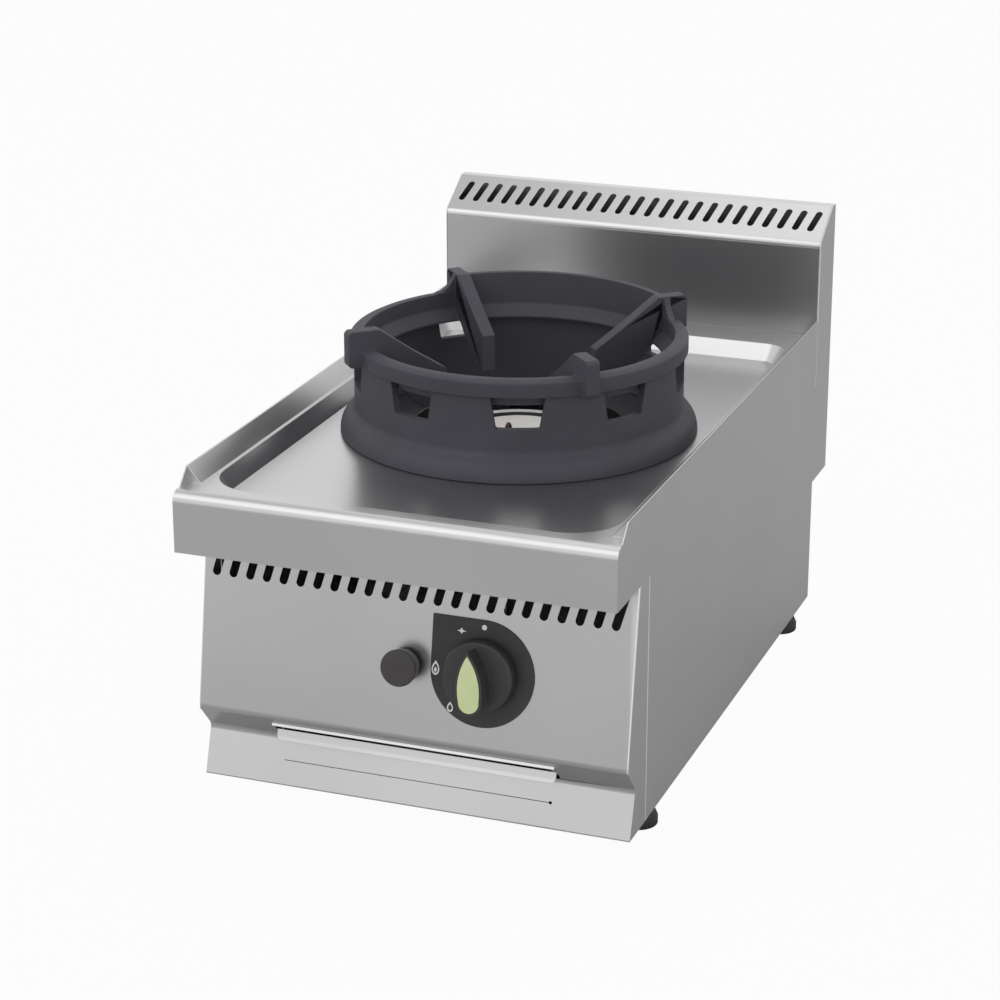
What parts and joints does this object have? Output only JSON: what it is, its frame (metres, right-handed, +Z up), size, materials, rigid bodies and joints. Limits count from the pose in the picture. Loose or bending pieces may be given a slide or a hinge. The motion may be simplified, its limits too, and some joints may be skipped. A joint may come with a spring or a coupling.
{
  "type": "gas wok cooker",
  "caption": "Counter-top gas wok cooker in folded stainless sheet with a lift-off cast wok ring, a drip tray, a slotted flue upstand, a push-and-turn gas knob and an igniter button.",
  "frame": {"origin": "on the table, under the middle of the casing's box", "axes": "+X to the right seen from the front, +Y to the back, +Z up"},
  "size_m": [0.4, 0.7, 0.4306],
  "materials": {
    "stainless_sheet": "satin, fine grain",
    "plated_steel": "bright zinc",
    "ring_iron": "matt black cast",
    "burner_iron": "rough cast, machined rim",
    "brass": "turned",
    "foot_plastic": "moulded",
    "dial_grey": "moulded, white marks",
    "knob_grey": "moulded",
    "pointer_green": "smooth insert",
    "button_grey": "moulded",
    "igniter_black": "moulded",
    "cap_steel": "turned, bright",
    "probe_copper": "heat stained",
    "ceramic_white": "glazed, stands for ceramic"
  },
  "bodies": {
    "casing": {"worktop": "stainless_sheet", "flue_cover": "stainless_sheet", "flue_side_left": "stainless_sheet", "flue_side_right": "stainless_sheet", "side_panel_left": "stainless_sheet", "side_panel_right": "stainless_sheet", "rear_panel": "stainless_sheet", "base_panel": "stainless_sheet", "control_panel": "stainless_sheet", "dial_plate": "dial_grey", "gas_valve": "brass", "igniter_body": "igniter_black", "tray_runner_left": "plated_steel", "tray_runner_right": "plated_steel", "burner_head": "burner_iron", "burner_bracket": "plated_steel", "mixing_tube": "burner_iron", "injector": "brass", "burner_pipe": "plated_steel", "supply_pipe": "plated_steel", "pilot_pipe": "plated_steel", "gas_inlet": "brass", "inlet_nut": "brass", "pilot_bracket": "plated_steel", "pilot_burner": "brass", "thermocouple": "probe_copper", "spark_electrode": "ceramic_white", "rear_screws": "plated_steel", "foot_nuts": "plated_steel"},
    "valve_rod": {"valve_rod": "brass"},
    "knob": {"knob": "knob_grey", "knob_pointer": "pointer_green", "valve_stem": "brass"},
    "igniter_button": {"igniter_button": "button_grey"},
    "drip_tray": {"drip_tray": "stainless_sheet"},
    "ring_base": {"ring_base": "ring_iron"},
    "pan_ring": {"pan_ring": "ring_iron"},
    "burner_cap": {"burner_cap": "cap_steel"},
    "foot_front_left": {"pad_front_left": "foot_plastic", "stud_front_left": "plated_steel"},
    "foot_front_right": {"pad_front_right": "foot_plastic", "stud_front_right": "plated_steel"},
    "foot_rear_left": {"pad_rear_left": "foot_plastic", "stud_rear_left": "plated_steel"},
    "foot_rear_right": {"pad_rear_right": "foot_plastic", "stud_rear_right": "plated_steel"}
  },
  "joints": [
    {"name": "knob_push", "type": "slide", "parent": "casing", "child": "valve_rod", "axis": [0, 0.9864, -0.1644], "range_m": [0, 0.003], "stiffness_N_per_m": 3000, "springref_m": -0.0015},
    {"name": "knob_turn", "type": "hinge", "parent": "valve_rod", "child": "knob", "pos_m": [0.065, -0.30305, 0.16028], "axis": [0, -0.9864, 0.1644], "range_deg": [0, 140]},
    {"name": "igniter_press", "type": "slide", "parent": "casing", "child": "igniter_button", "axis": [0, 0.9864, -0.1644], "range_m": [0, 0.0045], "stiffness_N_per_m": 2500, "springref_m": -0.001},
    {"name": "tray_slide", "type": "slide", "parent": "casing", "child": "drip_tray", "axis": [0, -1, 0], "range_m": [0, 0.42]},
    {"name": "ring_lift", "type": "slide", "parent": "casing", "child": "ring_base", "axis": [0, 0, 1], "range_m": [0, 0.15]},
    {"name": "pan_ring_lift", "type": "slide", "parent": "ring_base", "child": "pan_ring", "axis": [0, 0, 1], "range_m": [0, 0.1]},
    {"name": "cap_lift", "type": "slide", "parent": "casing", "child": "burner_cap", "axis": [0, 0, 1], "range_m": [0, 0.12]},
    {"name": "foot_front_left_screw", "type": "slide", "parent": "casing", "child": "foot_front_left", "axis": [0, 0, -1], "range_m": [0, 0.01]},
    {"name": "foot_front_right_screw", "type": "slide", "parent": "casing", "child": "foot_front_right", "axis": [0, 0, -1], "range_m": [0, 0.01]},
    {"name": "foot_rear_left_screw", "type": "slide", "parent": "casing", "child": "foot_rear_left", "axis": [0, 0, -1], "range_m": [0, 0.01]},
    {"name": "foot_rear_right_screw", "type": "slide", "parent": "casing", "child": "foot_rear_right", "axis": [0, 0, -1], "range_m": [0, 0.01]}
  ]
}
